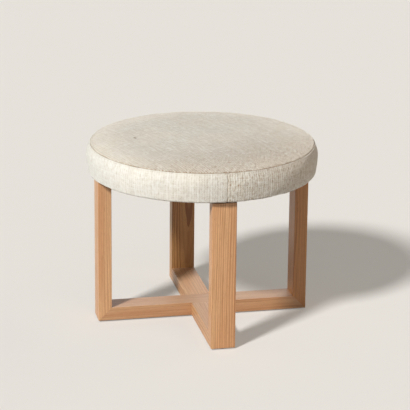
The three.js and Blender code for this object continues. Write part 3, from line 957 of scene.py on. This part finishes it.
def staples():
    """Staples through the lining: a flattened wire bent up at both ends, copied round the seat.

    Each copy is turned and moved out a little at random.
    """
    round_wire = np.linspace(0, 2 * math.pi, 6, endpoint=False)
    tip = np.array([
        (-STAPLE_REACH, STAPLE_LEG),
        (-STAPLE_REACH + 0.3 * STAPLE_BEND, 0.35 * STAPLE_BEND),
        (-STAPLE_REACH + STAPLE_BEND, 0)])
    line = np.concatenate([tip, (tip * (-1, 1))[::-1]])
    rows, columns = len(line), len(round_wire)
    wire = np.stack([
        line[:, :1] + 0 * round_wire,
        STAPLE_HALF_WIDTH * np.cos(round_wire) + 0 * line[:, :1],
        line[:, 1:] + STAPLE_HALF_DEPTH * np.sin(round_wire)]).reshape(3, 1, -1)
    chance = np.random.default_rng(5)
    turns = staple_turns()[:, None]
    askew = turns + math.pi / 2 + chance.normal(0, 0.06, turns.shape)
    radius = STAPLE_RADIUS + chance.normal(0, 0.5 * MM, turns.shape)
    x = wire[0] * np.cos(askew) - wire[1] * np.sin(askew) + radius * np.cos(turns)
    y = wire[0] * np.sin(askew) + wire[1] * np.cos(askew) + radius * np.sin(turns)
    z = wire[2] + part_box("dust_cover")[0].z - STAPLE_DROP + 0 * turns
    points = np.stack([x, y, z], -1).reshape(-1, 3)
    ends = np.array([np.arange(columns)[::-1], np.arange(columns) + (rows - 1) * columns])
    copies = np.arange(len(turns))[:, None, None] * rows * columns
    faces = []
    for part in (grid_quads(rows, columns, True), ends):
        faces += (part + copies).reshape(-1, part.shape[1]).tolist()
    piece = new_piece("lining_staples", points, faces)
    clean(piece, 1e-7)
    finish_piece(piece, "fixing_steel", zinc)


# The cushion

COLLAR = 12 * MM  # how far in from the seam the top panel's fine rows reach
CUSHION_CELLS = 160
CLOTH_CELLS = 64  # of the coarser mesh for the simulation
CLOTH_TURN = math.radians(-18)
SWELL_SHARE = 0.5  # how much of the simulation's movement is kept
SWELL_LIMIT = 0.8 * MM  # how far it may move the cloth from the section
TOP_EASE = 0.5 * MM  # how far the top stands above its section in the middle
SHOULDER = 2.6 * MM  # nearly twice as far as the shoulder stands above it
DEEPEST = 1.35 * MM  # how far the cloth may sink below its section, over the filling
CLOTH_FRAMES = 20
START_LUMPS = 0.5 * MM  # of the cloth before the simulation

# The seam round the top: its groove, and a roll on either side of it
SEAM_DEPTH = 1.5 * MM
SEAM_WIDTH = 0.95 * MM
SEAM_WANDER = 0.3 * MM
ROLL_PLACE = 2.6 * MM
ROLL_WIDTH = 1.9 * MM
UPPER_ROLL = 0.95 * MM
LOWER_ROLL = 0.4 * MM
SEAM_PUCKERS = 0.13 * MM

# The band's sewn joint: place across it, height and width of its groove and two rolls, in millimetres
JOIN_FORMS = ((0, -1.1, 1.1), (3.4, 0.45, 2.2), (-3.2, 0.25, 1.6))
JOIN_VALLEY = 0.25 * MM
JOIN_VALLEY_WIDTH = 7 * MM
PULL_REACH = 0.13  # radians to either side of the joint in which the mesh is drawn to it
PULL_SHARE = 0.62


def side_radius(height):
    """The band's radius at a height above its foot: the widest place less a power of the way from it."""
    widest = SIDE_HEIGHT * BELLY_HEIGHT_SHARE
    below = np.maximum(0, (widest - height) / widest)
    above = np.maximum(0, (height - widest) / (SIDE_HEIGHT - widest))
    return SEAM_RADIUS + BELLY - TUCK_DRAW * below ** TUCK_POWER - BELLY * above ** 2


def crown_level(radius):
    """The top panel's level: the crown less a power of the distance from the middle."""
    return SEAM_LEVEL + CROWN_HEIGHT * (1 - (radius / SEAM_RADIUS) ** CROWN_POWER)


EDGE_MIDDLE = float(side_radius(TUCK_ROUND)) - TUCK_ROUND
TURNED_EDGE = EDGE_MIDDLE + TUCK_ROUND - TUCK_WIDTH


def cloth_section():
    """The cover's section, as points (radius, level) from the collar out over the seam, down the band,
    round its foot, in to the cloth's turned edge and across to the axis; how far each point lies along
    the cloth from the seam; and those distances for the foot's start and end and the turned edge.
    """
    crown = np.linspace(SEAM_RADIUS - COLLAR, SEAM_RADIUS, 25)
    heights = np.linspace(SIDE_HEIGHT, TUCK_ROUND, 120)
    foot = arc((EDGE_MIDDLE, CLOTH_LOW + TUCK_ROUND), TUCK_ROUND, 0, -90, 24)
    inside = CLOTH_LOW + COVER
    section = np.concatenate([
        np.stack([crown, crown_level(crown)], -1),
        np.stack([side_radius(heights), CLOTH_LOW + heights], -1)[1:],
        foot[1:],
        [(TURNED_EDGE, CLOTH_LOW), (TURNED_EDGE, inside), (0, inside)]])
    reach = np.concatenate([[0], np.cumsum(np.linalg.norm(np.diff(section, axis=0), axis=1))])
    reach -= reach[len(crown) - 1]
    foot_start = len(crown) + len(heights) - 2
    marks = reach[[foot_start, foot_start + len(foot) - 1, foot_start + len(foot)]]
    return section, reach, marks


SECTION, SECTION_REACH, (FOOT_START, FOOT_END, EDGE_REACH) = cloth_section()


def on_section(reach):
    """Points (radius, level) of the section and the outward directions there."""
    def at(place):
        return np.stack([np.interp(place, SECTION_REACH, line) for line in SECTION.T], -1)

    step = 0.7 * MM
    along = at(reach + step) - at(reach - step)
    along /= np.linalg.norm(along, axis=-1, keepdims=True) + 1e-12
    return at(reach), np.stack([-along[..., 1], along[..., 0]], -1)


def section_rows():
    """Distances from the seam of the fine mesh's rows, closest together in the seam and round the foot."""
    near = np.array([0.3, 0.65, 1.05, 1.5, 2.0, 2.6, 3.3, 4.1, 5.0, 6.1, 7.4]) * MM
    band = np.linspace(9.0 * MM, FOOT_START - 1.5 * MM, 24)
    foot = np.linspace(FOOT_START, FOOT_END, 9)
    under = np.linspace(FOOT_END, EDGE_REACH, 11)[1:]
    closing = EDGE_REACH + np.array([COVER, COVER + 0.25 * TURNED_EDGE, COVER + TURNED_EDGE])
    first = np.array([-10.2, -8.7]) * MM
    return np.concatenate([first, -near[::-1], 0, near, band, foot, under, closing], axis=None)


def cloth_rows():
    """The same for the simulated mesh, whose rows lie about as far apart as its columns."""
    band = np.linspace(0, FOOT_START, 12)
    under = np.linspace(FOOT_END, EDGE_REACH, 5)
    closing = EDGE_REACH + np.array([COVER, COVER + 0.5 * TURNED_EDGE, COVER + TURNED_EDGE])
    return np.concatenate([-COLLAR / 2, band, (FOOT_START + FOOT_END) / 2, under, closing], axis=None)


def column_turns(cells, reach):
    """Directions of the columns in each row, drawn together by the sewn joint below the seam.

    A column x from the front moves towards it by a share that is a bell-like polynomial of x, so the
    middle column lies on the joint and its neighbours are closer than elsewhere.
    """
    disc = rim_of(disc_places(cells))
    even = np.unwrap(np.arctan2(disc[:, 1], disc[:, 0]))
    even += FRONT - even[0]
    x = (even - FRONT + math.pi) % (2 * math.pi) - math.pi
    near = np.maximum(0, 1 - (x / PULL_REACH) ** 2) ** 2
    pull = near * (JOIN_TURN - FRONT - PULL_SHARE * x)
    return even + ease(reach, -COLLAR, -2 * MM)[:, None] * pull


def seam_relief(reach, turn):
    """How far the cloth stands off its section by the seam.

    A groove that is a bell of the distance to the stitches lies between two rolls, the upper one the
    fuller; slow waves round the seat bend the line and change the rolls, and quick waves make puckers
    that die away from the seam.
    """
    away = reach + SEAM_WANDER * waves(turn, 6, 40, 3)
    uneven = 1 + 0.22 * waves(turn, 10, 60, 4)
    groove = -SEAM_DEPTH * bell(away, SEAM_WIDTH)
    upper = UPPER_ROLL * uneven * bell(away + ROLL_PLACE, ROLL_WIDTH)
    lower = LOWER_ROLL * uneven * bell(away - ROLL_PLACE, ROLL_WIDTH)
    spread_out = np.where(reach > 0, np.exp(-reach / (9 * MM)), 0.6 * np.exp(reach / (5 * MM)))
    puckers = SEAM_PUCKERS * waves(turn, 90, 190, 5) * spread_out * (1 - bell(reach, 1.2 * MM))
    return groove + upper + lower + puckers


def join_relief(reach, turn):
    """The same by the band's sewn joint, and how far away the joint is.

    A narrow groove lies in a shallow valley, between two soft rolls. Cosines of the distance below the
    seam make the joint's line wander and change how tight it is.
    """
    across = (turn - JOIN_TURN + math.pi) % (2 * math.pi) - math.pi
    across = across * SEAM_RADIUS + 0.7 * MM * np.cos(reach * 150 + 0.5) + 0.35 * MM * np.cos(reach * 520)
    below = ease(reach, 1 * MM, 6 * MM) * ease(-reach, -EDGE_REACH, -FOOT_END)
    tight = 0.6 + 0.25 * np.cos(reach * 260 + 2.4) + 0.15 * np.cos(reach * 610 + 1.0)
    forms = sum(tall * MM * bell(across - place * MM, wide * MM) for place, tall, wide in JOIN_FORMS)
    valley = JOIN_VALLEY * bell(across, JOIN_VALLEY_WIDTH)
    return below * (tight * forms - valley), np.abs(across) + 0.9 * MM * (1 - tight)


# Soft creases of the band: direction in degrees, distance below the seam in millimetres, slope, and
# length, height and half width in millimetres
BAND_CREASES = (
    (-128, 30, -0.55, 60, 0.45, 5.0),
    (-116, 40, -0.35, 50, 0.35, 4.5),
    (-82, 36, 3.5, 14, 0.55, 16.0),
    (-64, 36, 0.10, 45, -0.25, 3.5),
    (-40, 26, 0.35, 55, 0.35, 5.0),
    (10, 34, -0.30, 60, 0.4, 5.5),
    (62, 30, 0.40, 60, 0.4, 5.0),
    (118, 38, -0.30, 55, 0.4, 5.0),
    (170, 28, 0.35, 60, 0.45, 5.5),
    (222, 36, -0.40, 50, 0.35, 5.0),
)


def band_slack(reach, turn):
    """How far the band's cloth stands off its section elsewhere.

    Long waves change its bulge, each crease is a ridge with bells for its section and its length, and
    pleats, which the staples under the board gather, stand out round the foot.
    """
    x, y = turn * SEAM_RADIUS, reach
    body = ease(reach, 2 * MM, 16 * MM) * ease(-reach, -FOOT_END, -FOOT_START + 8 * MM)
    slow = 0.3 * MM * waves(turn, 2, 9, 6) + 0.08 * MM * waves(turn, 10, 26, 7) * np.cos(y * 60 + 2 * turn)
    soft = 0.04 * MM * lumps(x, y, 26 * MM, 90 * MM, 8)
    height = body * (slow + soft)
    for degrees, down, slope, length, tall, wide in BAND_CREASES:
        along = ((turn - math.radians(degrees) + math.pi) % (2 * math.pi) - math.pi) * SEAM_RADIUS
        off = (y - down * MM) - slope * along
        height = height + body * tall * MM * bell(off, wide * MM) * bell(along, length / 2 * MM)
    foot = ease(reach, FOOT_START - 10 * MM, FOOT_END) * ease(-reach, -EDGE_REACH + 14 * MM, -FOOT_END)
    gathered = np.maximum(0, waves(turn, 45, 120, 9)) * 0.3 * MM + 0.2 * MM * waves(turn, 8, 30, 10)
    return height + foot * gathered


def top_slack(x, y):
    """The top panel's own slow unevenness, which fades out towards the seam, and its full shoulder.

    The shoulder stands out by a power of the radius less a higher power of it.
    """
    share = np.clip(np.hypot(x, y) / SEAM_RADIUS, 0, 1)
    middle = 1 - share ** 6
    slow = 0.4 * MM * lumps(x, y, 120 * MM, 320 * MM, 11)
    shoulder = SHOULDER * (share ** 4 - share ** 18)
    return shoulder + middle * (TOP_EASE + slow + 0.06 * MM * lumps(x, y, 30 * MM, 90 * MM, 12))


def cushion_points(cells, reach, top_offset, side_offset):
    """The top's grid and the rows from its rim, each point offset along the section's outward direction."""
    disc = disc_places(cells) * (SEAM_RADIUS - COLLAR)
    level = crown_level(np.linalg.norm(disc, axis=-1)) + top_offset
    top = np.concatenate([disc, level[..., None]], -1)
    turn = column_turns(cells, reach)
    place, outward = on_section(reach)
    radius = np.maximum(0, place[:, :1] + outward[:, :1] * side_offset)
    level = place[:, 1:] + outward[:, 1:] * side_offset
    side = np.stack([radius * np.cos(turn), radius * np.sin(turn), level], -1)
    return top, side


def blown_up(points, faces, held):
    """Where a cloth simulation takes a closed cover's points, when it has some slack and is blown up.

    The points whose numbers are in held stay in place.
    """
    piece = new_piece("cushion_cloth", points, faces)
    piece.vertex_groups.new(name="held").add(held, 1.0, "REPLACE")
    cloth = piece.modifiers.new("cloth", "CLOTH")
    settings = cloth.settings
    settings.quality = 5
    settings.mass = 0.3
    settings.tension_stiffness = settings.compression_stiffness = 25
    settings.shear_stiffness = 12
    settings.bending_stiffness = 4
    settings.effector_weights.gravity = 0
    settings.use_pressure = True
    settings.uniform_pressure_force = 4
    settings.shrink_min = -0.012
    settings.vertex_group_mass = "held"
    cloth.point_cache.frame_start, cloth.point_cache.frame_end = 1, CLOTH_FRAMES
    scene = bpy.context.scene
    for number in range(1, CLOTH_FRAMES + 1):
        scene.frame_set(number)
    places = points_of(piece.evaluated_get(bpy.context.evaluated_depsgraph_get()))
    scene.frame_set(1)
    bpy.data.objects.remove(piece)
    return places


def simulated_swell():
    """How far a cloth simulation moves the cover off its section, apart from its even swelling.

    The cover is coarsely meshed, and its seam and foot are held. Each point's movement along the outward
    direction is kept, less its average round the seat, and on the top less a polynomial of the squared
    distance from the middle.
    """
    cells = CLOTH_CELLS
    reach = cloth_rows()
    turn = column_turns(cells, reach)
    disc = disc_places(cells) * (SEAM_RADIUS - COLLAR)
    start_top = START_LUMPS * lumps(disc[..., 0], disc[..., 1], 40 * MM, 120 * MM, 31)
    free = START_LUMPS * ease(reach, 0, 10 * MM) * ease(-reach, -FOOT_START, -FOOT_START + 10 * MM)
    down = reach[:, None] + 0 * turn
    start_side = free[:, None] * lumps(turn * SEAM_RADIUS, down, 25 * MM, 90 * MM, 32)
    top, side = cushion_points(cells, reach, start_top, start_side)
    points = np.concatenate([top.reshape(-1, 3), side.reshape(-1, 3)])
    faces = np.concatenate(capped_faces(cells, len(reach)))
    fixed = (np.abs(down) < 0.1 * MM) | (down > FOOT_START + 1 * MM)
    held = np.nonzero(fixed.ravel())[0] + (cells + 1) ** 2
    move = blown_up(points, faces.tolist(), held.tolist()) - points
    top_move, side_move = np.split(move, [(cells + 1) ** 2])
    top_move = top_move.reshape(top.shape)[..., 2] + start_top
    side_move = side_move.reshape(side.shape)
    outward = on_section(reach)[1]
    sideways = side_move[..., 0] * np.cos(turn) + side_move[..., 1] * np.sin(turn)
    side_move = sideways * outward[:, :1] + side_move[..., 2] * outward[:, 1:] + start_side
    square = (disc ** 2).sum(-1)
    top_move = top_move - np.polyval(np.polyfit(square.ravel(), top_move.ravel(), 4), square)
    side_move = side_move - side_move.mean(1, keepdims=True)
    top_move = np.clip(top_move * SWELL_SHARE, -SWELL_LIMIT, SWELL_LIMIT)
    side_move = np.clip(side_move * SWELL_SHARE, -SWELL_LIMIT, SWELL_LIMIT)
    return top_move, side_move, reach


def finer_swell(reach):
    """The simulated movement on the fine mesh's grid and rows.

    The rim of the coarse grid is the first of its rows, and some columns are repeated past each end, so
    that the rows join smoothly.
    """
    top, side, coarse_reach = simulated_swell()
    cells = CLOTH_CELLS
    steps = np.arange(cells + 1)
    wanted = np.linspace(0, cells, CUSHION_CELLS + 1)
    fine_top = resample(resample(top, steps, wanted).T, steps, wanted).T
    rim = rim_of(top)[None]
    side = np.concatenate([rim, side])
    columns = side.shape[1]
    margin = 4
    ring = np.concatenate([side[:, -margin:], side, side[:, :margin]], 1).T
    wanted = np.arange(4 * CUSHION_CELLS) * columns / (4 * CUSHION_CELLS)
    round_seat = resample(ring, np.arange(-margin, columns + margin), wanted).T
    fine_side = resample(round_seat, np.concatenate([[-COLLAR], coarse_reach]), reach)
    return fine_top, fine_side


def cloth_map(points, turn, reach, disc_part, side_part):
    """The cloth's own place at each corner of the disc's faces and then of the rows'.

    Over the top panel it is the place seen from above, turned with the cloth. Below the seam, X goes
    round the band from its sewn joint, and Y is -1 less the distance from the seam.
    """
    cos, sin = math.cos(CLOTH_TURN), math.sin(CLOTH_TURN)
    level_map = points[:, :2] @ np.array([[cos, sin], [-sin, cos]])
    round_turn = np.concatenate([turn, turn[:, :1] + 2 * math.pi], 1)
    round_map = np.stack([(round_turn - JOIN_TURN) * SEAM_RADIUS, -reach[:, None] - 1 + 0 * round_turn], -1)
    rows, columns = turn.shape
    first = np.arange(-1, rows - 1)[:, None]
    column = np.arange(columns)
    corners = [(first + 1, column), (first + 1, column + 1), (first, column + 1), (first, column)]
    on_band = np.stack([round_map[np.maximum(row, 0), at] for row, at in corners], -2).reshape(-1, 4, 2)
    below_seam = np.repeat(reach > 0, columns)
    side_map = np.where(below_seam[:, None, None], on_band, level_map[side_part])
    return np.concatenate([level_map[disc_part], side_map])


def cushion():
    """The cover as one closed form: crowned top, side band and the cloth turned under the board.

    Its points are the section's, moved outwards by the reliefs, the slack and the swelling. The cloth's
    own places go into a UV map, and the distance to the nearest seam is stored for the material.
    """
    cells = CUSHION_CELLS
    reach = section_rows()
    turn = column_turns(cells, reach)
    top_swell, side_swell = finer_swell(reach)
    flat = disc_places(cells) * (SEAM_RADIUS - COLLAR)
    top_offset = np.maximum(top_slack(flat[..., 0], flat[..., 1]) + top_swell, -DEEPEST)
    down = reach[:, None] + 0 * turn
    by_join, to_join = join_relief(down, turn)
    out = on_section(reach)[0][:, :1]
    panel = np.where(down < 0, top_slack(out * np.cos(turn), out * np.sin(turn)), 0)
    offset = seam_relief(down, turn) + by_join + band_slack(down, turn) + panel + side_swell
    offset = np.maximum(offset, -DEEPEST)
    offset[reach > EDGE_REACH - 0.01 * MM] = 0
    top, side = cushion_points(cells, reach, top_offset, offset)
    disc_part, side_part = capped_faces(cells, len(reach))
    points = np.concatenate([top.reshape(-1, 3), side.reshape(-1, 3)])
    piece = new_piece("seat_cushion", points, np.concatenate([disc_part, side_part]).tolist())
    places = cloth_map(points, turn, reach, disc_part, side_part)
    piece.data.uv_layers.new(name="cloth").data.foreach_set("uv", places.astype(np.float32).ravel())
    below = (down > 0) & (down < EDGE_REACH)
    distance = np.where(below, np.minimum(np.abs(down), to_join), np.abs(down))
    distance = np.concatenate([np.full((cells + 1) ** 2, COLLAR), distance.ravel()])
    store(piece, "seam_distance", "FLOAT", distance)
    clean(piece, 1e-7)
    finish_piece(piece, "seat_cloth", linen, "cover_side_band", "cover_top_panel")


# Scene

CAMERA_PLACE = (-0.90179, -4.28849, 1.64706)
CAMERA_RIGHT = (0.97884, -0.204396, 0.009722)
CAMERA_UP = (0.052792, 0.298151, 0.953058)
CAMERA_LENS = 179.3
CAMERA_FAR = 60.0
SENSOR = 36.0
FLOOR_REACH = 14.0
FLOOR_COLOUR = srgb(184, 181, 177)
FLOOR_GLOW = srgb(206, 203, 196)
FLOOR_GLOW_STRENGTH = 0.36
WALL_AZIMUTH = 170  # degrees
ROOM_LIGHT = (0.03, 0.025, 0.02, 1.0)
WALL_LIGHT = (0.5, 0.52, 0.5, 1.0)
WHITE = (1.0, 1.0, 1.0, 1.0)
# Name, azimuth, elevation and width in degrees, strength, and colour
WINDOWS = (
    ("front_window", -50, 39, 8, 4.55, (1.0, 1.0, 1.0)),
    ("front_wall", 5, 34, 70, 0.45, (1.0, 1.0, 1.0)),
    ("left_window", -105, 6, 60, 0.5, (0.9, 1.0, 0.95)),
    ("right_window", 95, 12, 60, 0.95, (1.2, 0.93, 0.7)),
)


def camera():
    """The photograph's camera, from its place and the directions to its right and up."""
    data = bpy.data.cameras.new("camera")
    data.lens, data.sensor_width, data.clip_end = CAMERA_LENS, SENSOR, CAMERA_FAR
    eye = bpy.data.objects.new("camera", data)
    bpy.context.scene.collection.objects.link(eye)
    right, up = Vector(CAMERA_RIGHT).normalized(), Vector(CAMERA_UP).normalized()
    back = right.cross(up)
    turn = Matrix((right, up, back)).transposed().to_4x4()
    eye.matrix_world = Matrix.Translation(CAMERA_PLACE) @ turn
    bpy.context.scene.camera = eye


def seen_or_mirrored(n):
    """1 on the camera's own rays and on those that mirrors and glass pass on to it, and 0 on others."""
    path = n.add("ShaderNodeLightPath")
    mirrored = n.math("MAXIMUM", path["Is Glossy Ray"], path["Is Transmission Ray"])
    return n.math("MAXIMUM", path["Is Camera Ray"], mirrored)


def floor():
    """A pale floor, which the camera sees a little lighter than it is, so that the shadow on it is light."""
    corners = [(x * FLOOR_REACH, y * FLOOR_REACH, 0) for x, y in ((-1, -1), (1, -1), (1, 1), (-1, 1))]
    piece = new_piece("floor", corners, [[0, 1, 2, 3]])
    n = Finish("pale_floor", Roughness=1.0, Specular_IOR_Level=0.0, Base_Color=FLOOR_COLOUR,
               Emission_Color=FLOOR_GLOW)
    piece.data.materials.append(n.surfaced(Emission_Strength=seen_or_mirrored(n) * FLOOR_GLOW_STRENGTH))


def way_to(azimuth, elevation):
    """The direction towards a lamp; azimuth 0 is in front of the stool and 90 on its right."""
    turn, rise = math.radians(azimuth), math.radians(elevation)
    return Vector((math.sin(turn) * math.cos(rise), -math.cos(turn) * math.cos(rise), math.sin(rise)))


def window(name, azimuth, elevation, wide, energy, colour):
    """A sun whose shadows are as soft as a window's. It isn't mirrored, so it makes no glare on the wood."""
    data = bpy.data.lights.new(name, "SUN")
    data.energy, data.angle, data.color = energy, math.radians(wide), colour
    light = bpy.data.objects.new(name, data)
    bpy.context.scene.collection.objects.link(light)
    light.visible_glossy = False
    light.rotation_mode = "QUATERNION"
    light.rotation_quaternion = way_to(azimuth, elevation).to_track_quat("Z", "Y")


def room():
    """A dim warm room with a pale wall behind the stool.

    The wall's share is a smooth step of the cosine between a direction and the wall's middle, times a
    smooth step down above its upper edge. The camera sees white, and so do mirrors and glass.
    """
    world = bpy.data.worlds.new("world")
    bpy.context.scene.world = world
    world.use_nodes = True
    n = Nodes(world.node_tree)
    x, y, z = n.split(n.add("ShaderNodeTexCoord")["Generated"])
    level = n.vector("NORMALIZE", n.join(x, y, 0.0))
    wall = {0: level, 1: way_to(WALL_AZIMUTH, 0)}
    facing = n.add("ShaderNodeVectorMath", wall, operation="DOT_PRODUCT")["Value"]
    share = n.spread(facing, 0.5, 0.85) * n.spread(z, 0.8, 0.5)
    sky = world.node_tree.nodes["Background"]
    n.put(sky.inputs["Color"], n.blend(seen_or_mirrored(n), n.blend(share, ROOM_LIGHT, WALL_LIGHT), WHITE))
    sky.inputs["Strength"].default_value = 1.0


bpy.context.scene.view_settings.view_transform = "Standard"
camera()
floor()
for values in WINDOWS:
    window(*values)
room()
posts()
rails_and_bearers()
glides()
seat_screws()
carried_over()
dust_cover()
staples()
cushion()
